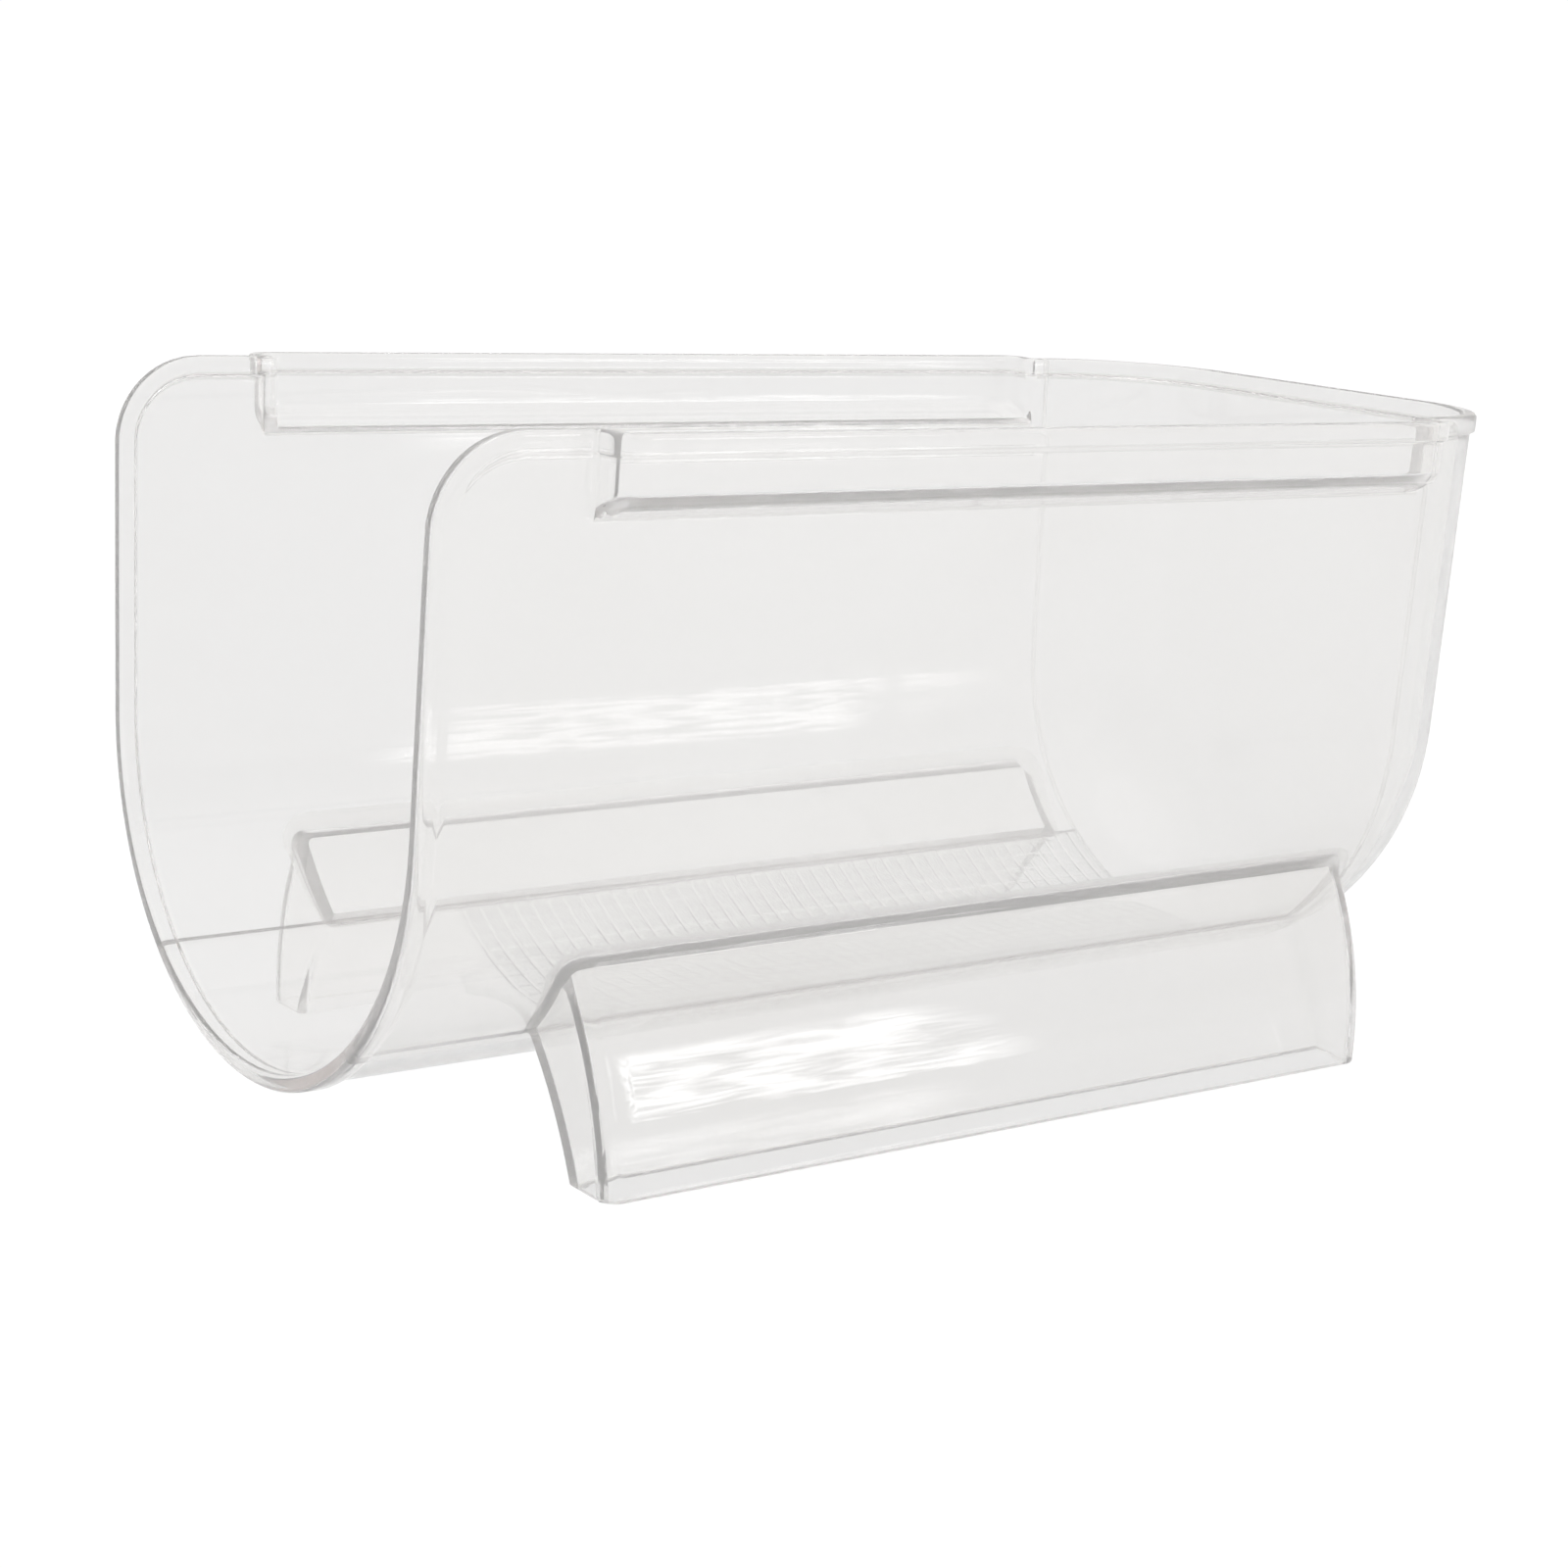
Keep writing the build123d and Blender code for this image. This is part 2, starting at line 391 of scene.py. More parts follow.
    def sheet(self, skin: Skin) -> tuple[np.ndarray, np.ndarray]:
        """One face of the trough, as a grid of points.

        The free edge's front corners are the square of columns and rows within the corner
        radius, turned into a quarter disc: the greater of the two distances from the corner's
        centre becomes the radius, and the ratio of the two becomes the angle.

        Args:
            skin: Which face.

        Returns:
            Points of shape (rows, columns, 3), and each column's way round from the bottom.
        """
        s = self.sizes
        plan = self.rows()
        base = self.rail_section(0.0)
        slope = (self.rail_section(MM) - base) / MM
        n_upper = len(base)
        share = np.linspace(0.0, 1.0, self.wall_points)[1:-1]
        angles = self.belly_angles()
        depth_across = np.concatenate([s.height - base[:, 1],
                                       np.full(len(share) + len(angles), s.height)])
        depth_along = np.where(plan.turn > 0, s.length, plan.along)
        depth = np.minimum(depth_across[None, :], depth_along[:, None])
        off = self.offset(depth, skin)

        def column(values: np.ndarray) -> np.ndarray:
            """A row's values, to be used across all columns."""
            return values[:, None] + 0 * off

        sweep = s.sweep_radius - s.rim + off
        centre_radius = s.trough_radius - (s.sweep_radius - s.rim)
        y = column(plan.along) + off * column(plan.along_slope)
        beyond = np.clip(y - s.sweep_start, 0.0, None)
        radius = centre_radius + np.sqrt(sweep ** 2 - beyond ** 2)
        swept = column(plan.turn) > 0
        y = np.where(swept, s.sweep_start + sweep * np.sin(column(plan.turn)), y)
        radius = np.where(swept, centre_radius + sweep * np.cos(column(plan.turn)), radius)

        upper = slice(0, n_upper)
        walls = slice(n_upper, n_upper + len(share))
        belly = slice(n_upper + len(share), None)
        z = np.zeros_like(off)
        z[:, upper] = base[None, :, 1] + off[:, upper] * slope[None, :, 1]
        tangent = s.axis_height - radius * sin(s.draft)
        last = z[:, n_upper - 1:n_upper]
        z[:, walls] = last + (tangent[:, walls] - last) * share[None, :]
        z[:, belly] = s.axis_height - radius[:, belly] * np.cos(angles)[None, :]

        rc = s.front_corner
        high = z - (s.height - rc)
        fore = rc - y
        inside = (high > 0) & (fore > 0)
        far = np.maximum(np.maximum(high, fore), LEAST_DISTANCE)
        angle = pi / 4 * np.minimum(high, fore) / far
        top = high >= fore
        z_round = s.height - rc + far * np.where(top, np.cos(angle), np.sin(angle))
        y_round = rc - far * np.where(top, np.sin(angle), np.cos(angle))
        z = np.where(inside, z_round, z)
        y = np.where(inside, y_round, y)

        x = s.half_width(radius, z)
        x[:, belly] = radius[:, belly] * np.sin(angles)[None, :]
        rail = base[None, :, 0] + off[:, upper] * slope[None, :, 0]
        step = column(plan.step) + off * column(plan.step_slope)
        x[:, upper] += step[:, upper] * (rail - x[:, upper])
        x *= 1.0 - column(plan.close)

        around = np.concatenate([s.trough_radius * (pi / 2) + (s.height - depth_across[:n_upper])
                                 - s.axis_height,
                                 np.linspace(s.trough_radius * pi / 2 + self.wall_way,
                                             s.trough_radius * pi / 2, len(share)),
                                 s.trough_radius * angles])
        right = np.stack([x, y - s.length / 2, z], axis=-1)
        left = right[:, -2::-1] * np.array([-1.0, 1.0, 1.0])
        return (np.concatenate([right, left], axis=1),
                np.concatenate([around, -around[-2::-1]]))


# ---- Shader tools ---------------------------------------------------------------------------
class Term:
    """A shader socket that can be used in Python arithmetic."""

    def __init__(self, nodes: "Nodes", socket: bpy.types.NodeSocket) -> None:
        """Wraps one output socket."""
        self.nodes = nodes
        self.socket = socket

    def _math(self, operation: str, *values: Any) -> "Term":
        """Adds a Math node for one operation on values or terms."""
        return self.nodes.add("ShaderNodeMath", {"operation": operation},
                              dict(enumerate(values)))

    def __add__(self, other: Any) -> "Term":
        """This plus another."""
        return self._math("ADD", self, other)

    def __mul__(self, other: Any) -> "Term":
        """This times another."""
        return self._math("MULTIPLY", self, other)

    def __sub__(self, other: Any) -> "Term":
        """This less another."""
        return self._math("SUBTRACT", self, other)

    def __rsub__(self, other: Any) -> "Term":
        """Another less this."""
        return self._math("SUBTRACT", other, self)

    __radd__ = __add__
    __rmul__ = __mul__

    def size(self) -> "Term":
        """This without its sign."""
        return self._math("ABSOLUTE", self)

    def larger(self, other: Any) -> "Term":
        """The greater of this and another."""
        return self._math("MAXIMUM", self, other)

    def wave(self, period: float) -> "Term":
        """A triangle wave of this, from 0 to 1 and back within one period."""
        return self._math("PINGPONG", self, period / 2) * (2.0 / period)

    def between(self, low: float, high: float) -> "Term":
        """Rises smoothly from 0 to 1 as this goes from low to high."""
        return self.nodes.add("ShaderNodeMapRange", {"interpolation_type": "SMOOTHSTEP"},
                              {"Value": self, "From Min": low, "From Max": high})


class Nodes:
    """Adds nodes to one material or world."""

    def __init__(self, tree: bpy.types.NodeTree) -> None:
        """Starts from an empty node tree."""
        self.tree = tree
        tree.nodes.clear()

    def add(self, kind: str, settings: dict[str, Any], inputs: dict[Union[int, str], Any],
            output: Union[int, str] = 0) -> Term:
        """Adds one node.

        Args:
            kind: The node's type.
            settings: Its properties, which are set first.
            inputs: Values or terms for its input sockets, by name or number.
            output: Which output to wrap.

        Returns:
            The wrapped output.
        """
        node = self.tree.nodes.new(kind)
        for name, value in settings.items():
            setattr(node, name, value)
        for name, value in inputs.items():
            if isinstance(value, Term):
                self.tree.links.new(value.socket, node.inputs[name])
            else:
                node.inputs[name].default_value = value
        return Term(self, node.outputs[output] if len(node.outputs) else None)

    def mix_colour(self, share: Any, first: Any, second: Any) -> Term:
        """A colour between two, by a share."""
        return self.add("ShaderNodeMix", {"data_type": "RGBA"},
                        {0: share, 6: first, 7: second}, 2)

    def part_of(self, vector: Term, axis: str) -> Term:
        """One component of a vector."""
        return self.add("ShaderNodeSeparateXYZ", {}, {0: vector}, axis)


Colour = tuple[float, float, float, float]


@dataclass(frozen=True)
class ClearPlastic:
    """Clear, colourless moulded plastic with a faint warm tint where it is thick."""

    name: str = "clear_plastic"
    tint: Colour = (0.996, 0.994, 0.991, 1.0)
    haze: Colour = (0.985, 0.981, 0.976, 1.0)
    clearness: float = 0.86
    refraction: float = 1.49
    polish: float = 0.015
    scuff: float = 0.05
    depth_colour: Colour = (0.94, 0.83, 0.79, 1.0)
    depth_density: float = 4.5
    ripple: float = 0.20 * MM
    grid_height: float = 0.18 * MM
    grid_pitch: float = 3.2 * MM
    grid_cell: Colour = (0.88, 0.88, 0.877, 1.0)
    grid_cross: tuple[float, float] = (0.62, 0.86)
    grid_long: tuple[float, float] = (0.66, 0.9)
    grid_long_share: float = 0.5
    grid_half_way: float = 33.0 * MM
    grid_front: float = -54.0 * MM
    grid_rear: float = 82.0 * MM
    grid_fade: float = 1.0 * MM
    broad_scale: float = 14.0
    fine_scale: float = 220.0
    flow_scale: tuple[float, float, float] = (26.0, 7.0, 26.0)
    haze_range: tuple[float, float] = (0.45, 0.75)
    shade: Colour = (1.0, 1.0, 1.0, 1.0)

    def make(self, gridded: bool) -> bpy.types.Material:
        """Builds the material.

        Roughness and tint drift with a broad noise.  The surface ripples a little with stretched
        noise, as moulded plastic does.  The trough's floor also has a raised grid, on the inside
        face only, with slightly greyer cells; it reads the way round from the mesh.  Shadows
        pass through the plastic.

        Args:
            gridded: True for pieces that carry the floor's raised grid.

        Returns:
            The material.
        """
        material = bpy.data.materials.new(self.name + ("_gridded" if gridded else ""))
        material.use_nodes = True
        nodes = Nodes(material.node_tree)
        place = nodes.add("ShaderNodeTexCoord", {}, {}, "Object")
        broad = nodes.add("ShaderNodeTexNoise", {},
                          {"Vector": place, "Scale": self.broad_scale, "Detail": 3.0,
                           "Roughness": 0.55})
        fine = nodes.add("ShaderNodeTexNoise", {}, {"Vector": place, "Scale": self.fine_scale,
                                                    "Detail": 2.0})
        stretched = nodes.add("ShaderNodeMapping", {}, {"Vector": place,
                                                        "Scale": self.flow_scale})
        flow = nodes.add("ShaderNodeTexNoise", {}, {"Vector": stretched, "Scale": 1.0,
                                                    "Detail": 2.0, "Distortion": 0.6})
        colour = nodes.mix_colour(broad.between(*self.haze_range), self.tint, self.haze)
        rough = self.polish + (self.scuff - self.polish) * (broad * fine)
        height = flow * self.ripple
        if gridded:
            area, lines = self.floor_grid(nodes, place)
            height = height + area * lines * self.grid_height
            colour = nodes.mix_colour(area * (1.0 - lines), colour, self.grid_cell)
        bump = nodes.add("ShaderNodeBump", {}, {"Height": height, "Strength": 1.0,
                                                "Distance": 1.0})
        shader = nodes.add("ShaderNodeBsdfPrincipled", {},
                           {"Base Color": colour, "Roughness": rough, "Normal": bump,
                            "IOR": self.refraction, "Transmission Weight": self.clearness})
        clear = nodes.add("ShaderNodeBsdfTransparent", {}, {"Color": self.shade})
        shadow = nodes.add("ShaderNodeLightPath", {}, {}, "Is Shadow Ray")
        surface = nodes.add("ShaderNodeMixShader", {}, {0: shadow, 1: shader, 2: clear})
        depth = nodes.add("ShaderNodeVolumeAbsorption", {},
                          {"Color": self.depth_colour, "Density": self.depth_density})
        nodes.add("ShaderNodeOutputMaterial", {}, {"Surface": surface, "Volume": depth})
        return material

    def floor_grid(self, nodes: Nodes, place: Term) -> tuple[Term, Term]:
        """Where the floor's raised grid is, and its lines.

        Each set of lines is the top of a triangle wave, along the holder or round it.

        Args:
            nodes: The material's nodes.
            place: Object coordinates.

        Returns:
            The area that holds the grid, faded at its edges, and the lines.
        """
        around = nodes.add("ShaderNodeAttribute", {"attribute_name": "around"}, {}, "Fac")
        inside = nodes.add("ShaderNodeAttribute", {"attribute_name": "inside"}, {}, "Fac")
        along = nodes.part_of(place, "Y")
        across_lines = along.wave(self.grid_pitch).between(*self.grid_cross)
        long_lines = around.wave(self.grid_pitch).between(*self.grid_long)
        held = 1.0 - around.size().between(self.grid_half_way,
                                           self.grid_half_way + self.grid_fade)
        start = along.between(self.grid_front, self.grid_front + self.grid_fade)
        end = 1.0 - along.between(self.grid_rear - self.grid_fade, self.grid_rear)
        lines = across_lines.larger(long_lines * self.grid_long_share)
        return held * start * end * inside, lines


# ---- The trough's pieces --------------------------------------------------------------------
@dataclass
class Trough:
    """The half-round trough with its rim and rails, cut into its separate parts at its seams."""

    form: TroughForm = field(default_factory=TroughForm)
    joint_lap: float = 0.03 * MM
    crease: float = 34.0

    def build(self, plain: bpy.types.Material, gridded: bpy.types.Material) \
            -> list[bpy.types.Object]:
        """Builds and dresses the floor strip, the two sides and the rear end.

        Args:
            plain: The finish of the sides and the rear end.
            gridded: The finish of the floor strip.

        Returns:
            The four pieces.
        """
        inner, around = self.form.sheet(Skin.INSIDE)
        outer, _ = self.form.sheet(Skin.OUTSIDE)
        seam = self.form.sizes.trough_radius * self.form.sizes.seam_angle
        first = int(np.argmin(np.abs(around - seam)))
        second = int(np.argmin(np.abs(around + seam)))
        plan = self.form.rows()
        rear = int(np.argmax(plan.turn > 0)) - 1
        floor = self.piece("floor_strip", inner, outer, around, slice(0, rear + 1),
                           slice(first, second + 1), True)
        right = self.piece("right_side", inner, outer, around, slice(0, rear + 1),
                           slice(0, first + 1), True)
        left = self.piece("left_side", inner, outer, around, slice(0, rear + 1),
                          slice(second, None), True)
        end = self.piece("rear_end", inner, outer, around, slice(rear, None),
                         slice(None), False)
        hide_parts("trough_floor", "front_lip")
        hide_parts("right_side_wall", "right_front_rim", "right_stacking_rail",
                    "right_top_rim")
        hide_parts("left_side_wall", "left_front_rim", "left_stacking_rail",
                    "left_top_rim")
        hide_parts("rear_wall", "rear_rim")
        for piece in (floor, right, left, end):
            piece.data.materials.append(gridded if piece is floor else plain)
            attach(piece, "root")
        return [floor, right, left, end]

    def piece(self, name: str, inner: np.ndarray, outer: np.ndarray, around: np.ndarray,
              rows: slice, columns: slice, ended: bool) -> bpy.types.Object:
        """Closes one part of the two sheets into a solid skin.

        Args:
            name: The piece's name.
            inner: The inside sheet.
            outer: The outside sheet.
            around: The way round from the bottom, for each column.
            rows: The rows of the part.
            columns: The columns of the part.
            ended: True if the part's last row is a joint, to be lapped and closed.

        Returns:
            The piece.
        """
        sheets = [inner[rows, columns].copy(), outer[rows, columns].copy()]
        if ended:
            for sheet in sheets:
                sheet[-1, :, 1] += self.joint_lap
        n_rows, n_columns = sheets[0].shape[:2]
        count = n_rows * n_columns
        index = np.arange(count).reshape(n_rows, n_columns)
        borders = [index[0], index[:, 0], index[:, -1]] + ([index[-1]] if ended else [])
        faces = [grid_faces(n_rows, n_columns), grid_faces(n_rows, n_columns, count)]
        faces += [strip_faces(line, line + count) for line in borders]
        points = np.concatenate([sheet.reshape(-1, 3) for sheet in sheets])
        way = np.tile(around[columns], 2 * n_rows)
        inside = np.repeat([1.0, 0.0], count)
        return make_piece(name, points, np.concatenate(faces), self.crease,
                          around=way, inside=inside)


# ---- Feet -----------------------------------------------------------------------------------
@dataclass
class Foot:
    """A long hollow foot, open below, that hangs from the side of the trough."""

    sizes: HolderSizes = field(default_factory=HolderSizes)
    base_round: float = 0.35 * MM
    inner_corner: float = 1.2 * MM
    crease_out: float = 2.6 * MM
    crease_in: float = 0.9 * MM
    least_corner: float = 0.4 * MM
    outer_height: float = 28.0 * MM
    inner_run: float = 22.0 * MM
    outer_run: float = 36.0 * MM
    lap: float = 0.03 * MM
    crease: float = 40.0
    height_points: int = 18
    crease_points: int = 7
    corner_points: int = 8
    side_points: int = 6
    long_points: int = 26
    base_points: int = 4
    seat_points: int = 6

    def inner_panel(self, t: np.ndarray) -> np.ndarray:
        """The inner panel's line: straight, plus a parabola outwards, bulge 4t(1 - t).

        Args:
            t: Share of the height, 0 at the ground and 1 on the trough.

        Returns:
            Points of (x, z).
        """
        s = self.sizes
        wall = s.trough_radius + s.wall
        low = np.array([self.outer_base - s.foot_base_width, 0.0])
        high = np.array([wall * sin(s.seam_angle), s.axis_height - wall * cos(s.seam_angle)])
        run = high - low
        out = np.array([run[1], -run[0]]) / hypot(*run)
        bow = s.foot_panel_bulge * 4.0 * t * (1.0 - t)
        return low + t[..., None] * run + bow[..., None] * out

    def outer_panel(self, t: np.ndarray) -> np.ndarray:
        """The outer panel's line: an arc that stands upright at the ground.

        Args:
            t: Share of the arc's turn, 0 at the ground and 1 on the trough.

        Returns:
            Points of (x, z).
        """
        s = self.sizes
        wall = s.trough_radius + s.wall
        high = np.array([wall * sin(s.foot_top_angle),
                         s.axis_height - wall * cos(s.foot_top_angle)])
        flare = self.outer_base - high[0]
        radius = (flare ** 2 + high[1] ** 2) / (2.0 * flare)
        turn = t * asin(high[1] / radius)
        return np.stack([self.outer_base - radius + radius * np.cos(turn),
                         radius * np.sin(turn)], axis=-1)

    @property
    def outer_base(self) -> float:
        """Half the width over both feet, at the ground."""
        return self.sizes.shelf_outer - self.sizes.foot_side_clearance

    def loop(self, inset: np.ndarray) -> tuple[np.ndarray, ...]:
        """A rounded rectangle round the foot, seen from above.

        Args:
            inset: How far in from the foot's outside each row is.

        Returns:
            For each row and point: a share of the width and a distance to add to it, then a
            share of the length and a distance to add to it.
        """
        n = self.corner_points
        phi = np.linspace(0.0, pi / 2, n)
        outer = np.maximum(self.sizes.foot_corner - inset, self.least_corner)[..., None]
        inner = np.maximum(self.inner_corner - inset, self.least_corner)[..., None]
        gap = inset[..., None]
        sides = np.linspace(0.0, 1.0, self.side_points)[1:-1]
        long = np.linspace(0.0, 1.0, self.long_points)[1:-1]
        near_in = (gap + inner * (1 - np.cos(phi)), gap + inner * (1 - np.sin(phi)))
        near_out = (-gap - outer * (1 - np.sin(phi)), gap + outer * (1 - np.cos(phi)))
        zero = 0 * gap
        parts = [
            (0 * phi, near_in[0], 0 * phi, near_in[1]),
            (sides, zero + 0 * sides, 0 * sides, gap + 0 * sides),
            (1 + 0 * phi, near_out[0], 0 * phi, near_out[1]),
            (1 + 0 * long, -gap + 0 * long, long, zero + 0 * long),
            (1 + 0 * phi, near_out[0][..., ::-1], 1 + 0 * phi, -near_out[1][..., ::-1]),
            (sides[::-1], zero + 0 * sides, 1 + 0 * sides, -gap + 0 * sides),
            (0 * phi, near_in[0][..., ::-1], 1 + 0 * phi, -near_in[1][..., ::-1]),
            (0 * long, gap + 0 * long, long[::-1], zero + 0 * long),
        ]
        return tuple(np.concatenate([part[k] + 0 * part[1] for part in parts], axis=-1)
                     for k in range(4))

    def surface(self, inset: np.ndarray, t: np.ndarray, on_trough: bool = False) -> np.ndarray:
        """Points round the foot's wall.

        Between the two panels' lines a point is their mix by the share of the width, pulled
        onto the trough's outside as t nears 1.

        Args:
            inset: How far in from the foot's outside each row is, or each point.
            t: Share of the height of each row, or of each point.
            on_trough: True to sink the points into the trough's wall by the lap.

        Returns:
            Points of shape (rows, points, 3).
        """
        s = self.sizes
        share_x, add_x, share_y, add_y = self.loop(inset)
        t = t[:, None] + 0 * add_x if t.ndim == 1 else t
        low, high = self.inner_panel(t), self.outer_panel(t)
        width = np.linalg.norm(high - low, axis=-1)
        a = share_x + add_x / width
        angle = s.seam_angle + a * (s.foot_top_angle - s.seam_angle)
        wall = s.trough_radius + s.wall - (self.lap if on_trough else 0.0)
        seat = np.stack([wall * np.sin(angle), s.axis_height - wall * np.cos(angle)], -1)
        ends = self.inner_panel(np.ones_like(a)), self.outer_panel(np.ones_like(a))
        chord = ends[0] + a[..., None] * (ends[1] - ends[0])
        flat = low + a[..., None] * (high - low) + (t ** 3)[..., None] * (seat - chord)
        lean = flat[..., 1] * tan(s.foot_end_draft)
        front = s.rail_start + s.foot_front_clearance - lean
        rear = s.rail_end - s.foot_rear_clearance + lean
        y = front + share_y * (rear - front) + add_y
        return np.stack([flat[..., 0], y - s.length / 2, flat[..., 1]], axis=-1)

    def build(self, side: int, finish: bpy.types.Material) -> bpy.types.Object:
        """Builds one foot as a closed band of wall.

        The band goes up the outside, over the top on the trough, down the hollow and round the
        base.  The crease onto the trough is a quadratic Bezier curve, with weights (1 - q)^2,
        2q(1 - q) and q^2 on the wall, the nominal corner and the seat.

        Args:
            side: 1 for the right foot, -1 for the left.
            finish: Its material.

        Returns:
            The foot.
        """
        s = self.sizes
        phi = np.linspace(0.0, pi / 2, self.base_points)
        low_share = self.base_round / self.outer_height
        round_in = self.base_round * (1.0 - np.sin(phi))
        round_up = low_share * (1.0 - np.cos(phi))
        share_x = self.loop(np.zeros(1))[0][0]
        spread = self.crease_in + (self.crease_out - self.crease_in) * share_x
        reach = self.inner_run + (self.outer_run - self.inner_run) * share_x
        t_high = 1.0 - spread / reach
        rise = np.linspace(0.0, 1.0, self.height_points)[1:, None]
        base = self.surface(round_in[::-1], round_up[::-1])[::-1]
        up_t = low_share + rise * (t_high - low_share)[None, :]
        wall_out = self.surface(np.zeros(len(rise)), up_t)
        nominal = self.surface(np.zeros(1), np.ones(1))
        seat_rows = np.linspace(0.0, 1.0, self.seat_points)[:, None]
        q = np.linspace(0.0, 1.0, self.crease_points)[1:, None, None]
        seats = np.concatenate([self.spread_seat(-spread * (1 - share) + s.wall * share)
                                for share in seat_rows])
        crease = (1 - q) ** 2 * wall_out[-1:] + 2 * q * (1 - q) * nominal + q ** 2 * seats[:1]
        fall = np.linspace(1.0, 0.0, self.height_points)[:-1]
        hollow = self.surface(np.full(len(fall), s.wall), low_share + fall * (1 - low_share))
        inner_base = self.surface(s.wall - round_in[::-1], round_up[::-1])
        rows = np.concatenate([base, wall_out, crease, seats[1:], hollow[1:], inner_base])
        count, around = rows.shape[:2]
        rows[..., 0] *= side
        rows = np.concatenate([rows, rows[:1]])
        rows = np.concatenate([rows, rows[:, :1]], axis=1)
        name = ("right" if side > 0 else "left") + "_foot"
        foot = make_piece(name + "_shell", rows.reshape(-1, 3),
                          grid_faces(count + 1, around + 1), self.crease)
        foot.data.materials.append(finish)
        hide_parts(name)
        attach(foot, "root")
        return foot

    def spread_seat(self, inset: np.ndarray) -> np.ndarray:
        """One line round the foot, on the trough's outside.

        Args:
            inset: How far in from the foot's outside each point is.

        Returns:
            Points of shape (1, points, 3): the diagonal of a grid with a row for each inset.
        """
        each = np.arange(len(inset))
        return self.surface(inset, np.ones(len(inset)), True)[each, each][None]


# ---- Stage ----------------------------------------------------------------------------------
@dataclass(frozen=True)
class Studio:
    """A pale, evenly glowing floor, a soft bright room with a window, and light from above.

    The floor is a little brighter, and the room white, where the camera sees them directly.
    """

    floor_half: float = 14.0
    floor_points: int = 9
    floor_drop: float = 0.02 * MM
    mottle_scale: float = 3.0
    mottle_shade: float = 0.99
    floor_colour: Colour = (0.10, 0.10, 0.10, 1.0)
    room_low: Colour = (0.735, 0.729, 0.721, 1.0)
    room_high: Colour = (0.98, 0.97, 0.96, 1.0)
    backdrop: Colour = (1.03, 1.03, 1.03, 1.0)
    floor_glow: float = 0.735
    floor_lift: float = 0.22
    window_light: Colour = (5.2, 5.2, 5.2, 1.0)
    window_way: float = radians(124.5)
    window_height: float = radians(5.5)
    window_wide: float = 0.085
    window_tall: float = 0.20
    window_soft: float = 0.015
    window_ahead: float = 0.1
    room_fade: tuple[float, float] = (0.25, 0.75)
    fold_scale: float = 26.0
    fold_range: tuple[float, float] = (0.40, 0.58)
    overhead_spot: tuple[float, float, float] = (0.4, -0.5, 2.0)
    overhead_angle: float = radians(50)
    aim_height: float = 0.05
    overhead_strength: float = 0.20

    def build(self) -> None:
        """Makes the floor, the room's light and the overhead light."""
        grid = np.linspace(-self.floor_half, self.floor_half, self.floor_points)
        x, y = np.meshgrid(grid, grid)
        points = np.stack([x, y, np.full_like(x, -self.floor_drop)], -1).reshape(-1, 3)
        mesh = bpy.data.meshes.new("studio_floor")
        faces = grid_faces(self.floor_points, self.floor_points)
        mesh.from_pydata(points, [], faces.tolist())
        floor = bpy.data.objects.new("studio_floor", mesh)
        bpy.context.scene.collection.objects.link(floor)
        material = bpy.data.materials.new("studio_floor")
        material.use_nodes = True
        nodes = Nodes(material.node_tree)
        place = nodes.add("ShaderNodeTexCoord", {}, {}, "Object")
        mottle = nodes.add("ShaderNodeTexNoise", {},
                           {"Vector": place, "Scale": self.mottle_scale})
        duller = tuple(self.mottle_shade * c for c in self.floor_colour[:3]) + (1.0,)
        colour = nodes.mix_colour(mottle, self.floor_colour, duller)
        diffuse = nodes.add("ShaderNodeBsdfDiffuse", {}, {"Color": colour})
        seen = nodes.add("ShaderNodeLightPath", {}, {}, "Is Camera Ray")
        glow = nodes.add("ShaderNodeEmission", {},
                         {"Strength": seen * self.floor_lift + self.floor_glow})
        shader = nodes.add("ShaderNodeAddShader", {}, {0: diffuse, 1: glow})
        nodes.add("ShaderNodeOutputMaterial", {}, {"Surface": shader})
        mesh.materials.append(material)
        self.room()
        self.overhead()

    def room(self) -> None:
        """The room: pale grey low down all round, nearly white overhead, with one bright window.

        The window is a soft-edged rectangle of directions round its own heading.
        """
        world = bpy.data.worlds.new("studio")
        bpy.context.scene.world = world
        world.use_nodes = True
        nodes = Nodes(world.node_tree)
        direction = nodes.add("ShaderNodeTexCoord", {}, {}, "Generated")
        up = nodes.part_of(direction, "Z")
        colour = nodes.mix_colour(up.between(*self.room_fade), self.room_low, self.room_high)
        a, e = self.window_way, self.window_height
        heading = Vector((sin(a) * cos(e), -cos(a) * cos(e), sin(e)))
        side = Vector((cos(a), sin(a), 0.0))
        rise = heading.cross(side)

        def towards(axis: Vector) -> Term:
            """How far a direction leans along an axis."""
            return nodes.add("ShaderNodeVectorMath", {"operation": "DOT_PRODUCT"},
                             {0: direction, 1: tuple(axis)}, "Value")

        ahead = towards(heading).between(0.0, self.window_ahead)
        soft = self.window_soft
        across = 1.0 - (towards(side).size() - self.window_wide).between(-soft, soft)
        upward = 1.0 - (towards(rise).size() - self.window_tall).between(-soft, soft)
        folds = nodes.add("ShaderNodeTexNoise", {}, {"Vector": direction,
                                                     "Scale": self.fold_scale, "Detail": 3.0,
                                                     "Distortion": 1.5})
        share = ahead * across * upward * folds.between(*self.fold_range)
        lit = nodes.mix_colour(share, colour, self.window_light)
        seen = nodes.add("ShaderNodeLightPath", {}, {}, "Is Camera Ray")
        shown = nodes.mix_colour(seen, lit, self.backdrop)
        light = nodes.add("ShaderNodeBackground", {}, {"Color": shown, "Strength": 1.0})
        nodes.add("ShaderNodeOutputWorld", {}, {"Surface": light})

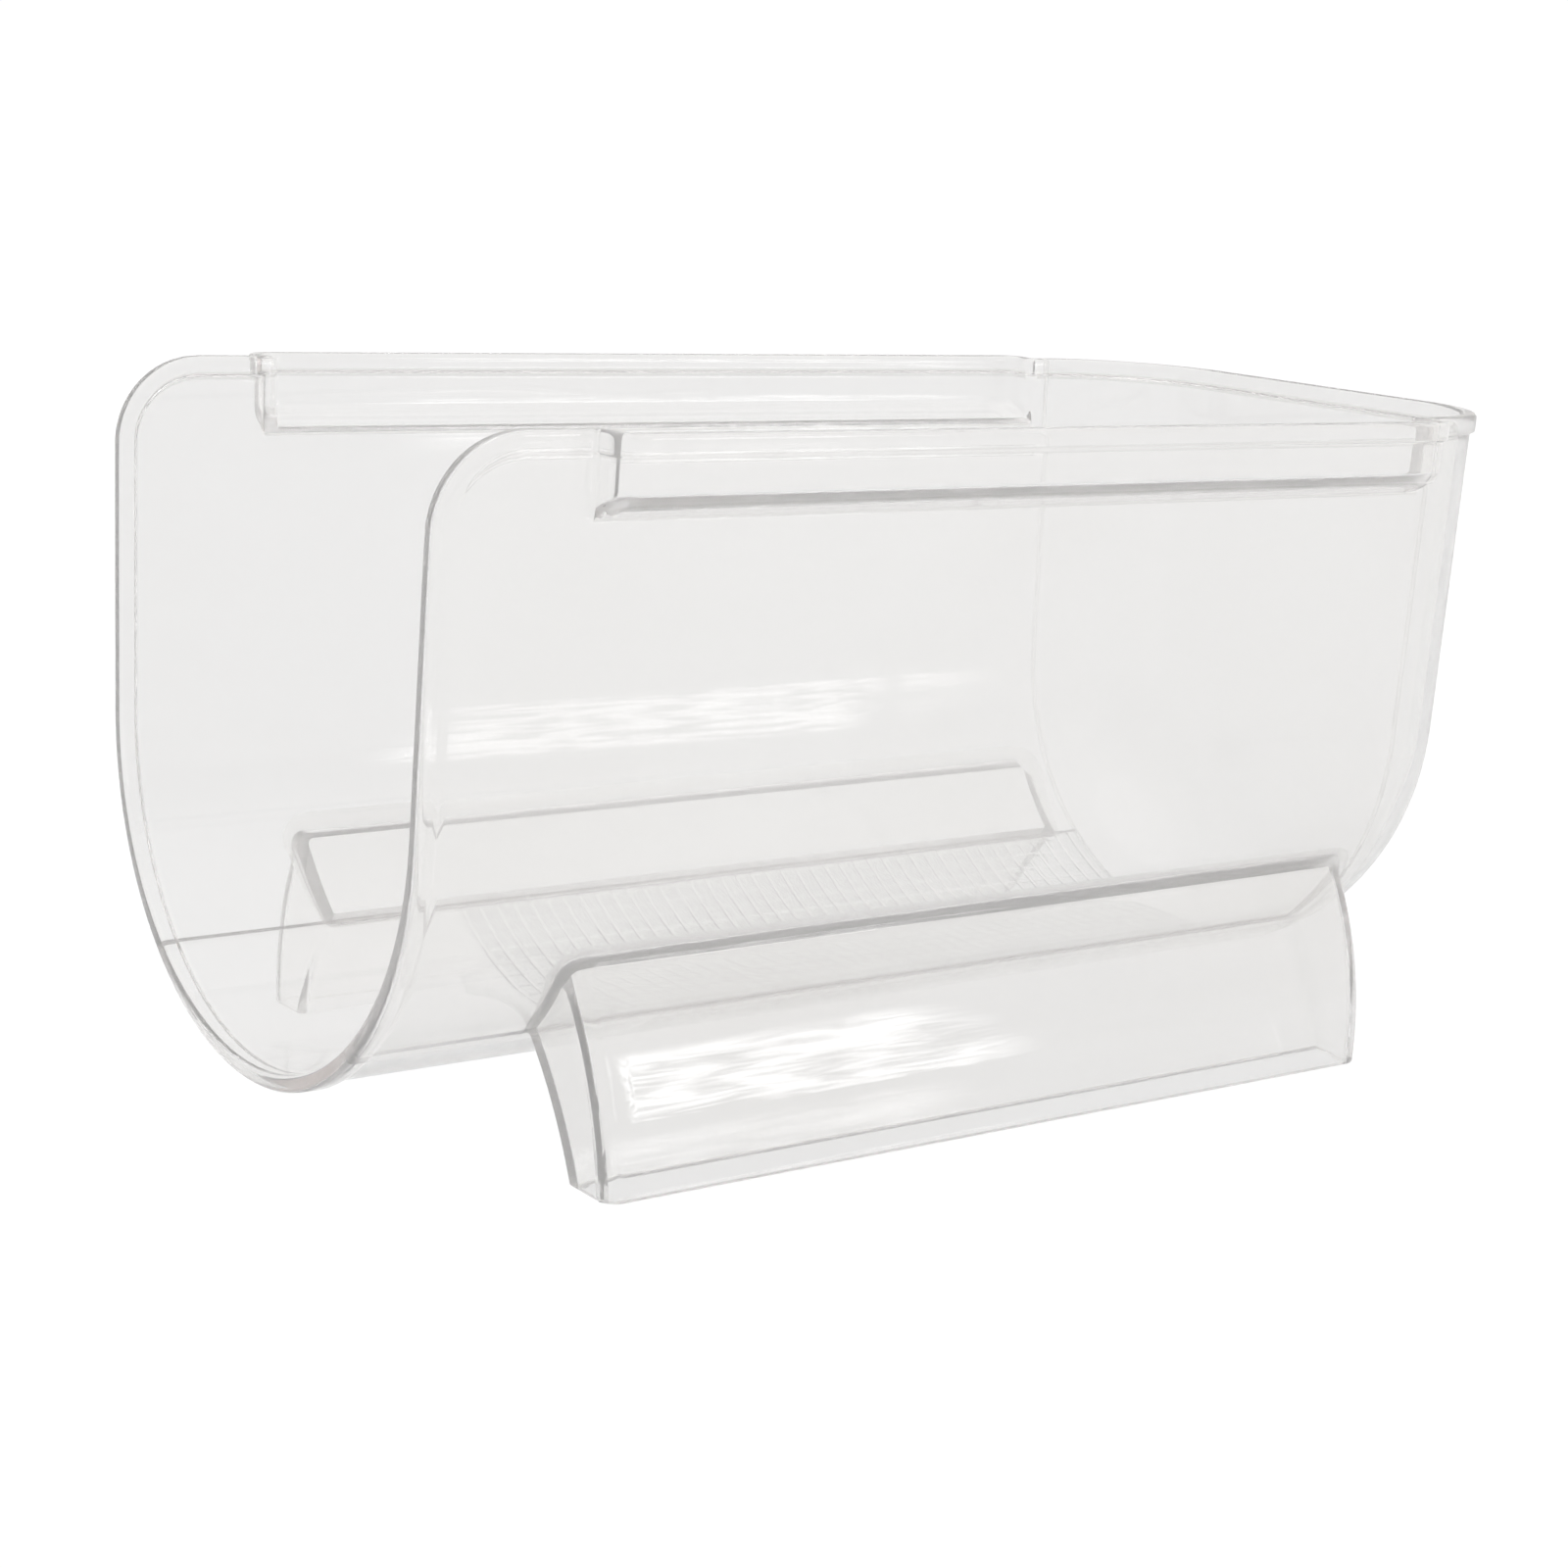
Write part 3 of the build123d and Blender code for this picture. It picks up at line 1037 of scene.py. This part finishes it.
    def overhead(self) -> None:
        """An even, very soft light from overhead, aimed at the holder."""
        sun = bpy.data.lights.new("overhead", "SUN")
        sun.energy = self.overhead_strength
        sun.angle = self.overhead_angle
        lamp = bpy.data.objects.new("overhead", sun)
        lamp.location = self.overhead_spot
        aim = Vector((0.0, 0.0, self.aim_height)) - Vector(self.overhead_spot)
        lamp.rotation_euler = aim.to_track_quat("-Z", "Y").to_euler()
        bpy.context.scene.collection.objects.link(lamp)


@dataclass(frozen=True)
class Viewpoint:
    """The camera: its place, heading, height angle, roll and lens."""

    place: tuple[float, float, float] = (0.3789, -0.2930, 0.1490)
    azimuth: float = radians(53.26)
    elevation: float = radians(12.53)
    roll: float = radians(3.513)
    lens: float = 68.64
    sensor: float = 36.0
    nearest: float = 0.01
    farthest: float = 60.0

    def build(self) -> None:
        """Makes the camera and hands it to the scene."""
        a, e = self.azimuth, self.elevation
        back = Vector((sin(a) * cos(e), -cos(a) * cos(e), sin(e)))
        right = Vector((cos(a), sin(a), 0.0))
        up = back.cross(right)
        side = right * cos(self.roll) + up * sin(self.roll)
        top = up * cos(self.roll) - right * sin(self.roll)
        data = bpy.data.cameras.new("camera")
        data.lens = self.lens
        data.sensor_width = self.sensor
        data.clip_start, data.clip_end = self.nearest, self.farthest
        camera = bpy.data.objects.new("camera", data)
        turn = Matrix((side, top, back)).transposed().to_4x4()
        camera.matrix_world = Matrix.Translation(self.place) @ turn
        bpy.context.scene.collection.objects.link(camera)
        bpy.context.scene.camera = camera


# ---- All together ---------------------------------------------------------------------------
def main() -> None:
    """Builds the holder's pieces, the stage and the camera, and logs each piece's vertex count.
    """
    logging.basicConfig(level=logging.INFO, format="%(name)s: %(message)s")
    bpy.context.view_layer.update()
    Viewpoint().build()
    plastic = ClearPlastic()
    plain, gridded = plastic.make(False), plastic.make(True)
    pieces = Trough().build(plain, gridded)
    foot = Foot()
    pieces += [foot.build(1, plain), foot.build(-1, plain)]
    for piece in pieces:
        log.info("%s: %d vertices", piece.name, len(piece.data.vertices))
    Studio().build()
    scene = bpy.context.scene
    scene.view_settings.view_transform = "Standard"
    scene.cycles.max_bounces = CLEAR_BOUNCES
    scene.cycles.transmission_bounces = CLEAR_BOUNCES
    scene.cycles.glossy_bounces = CLEAR_BOUNCES
    scene.cycles.diffuse_bounces = HAZE_BOUNCES
    scene.cycles.transparent_max_bounces = SHADOW_LAYERS


if __name__ == "__main__":
    main()
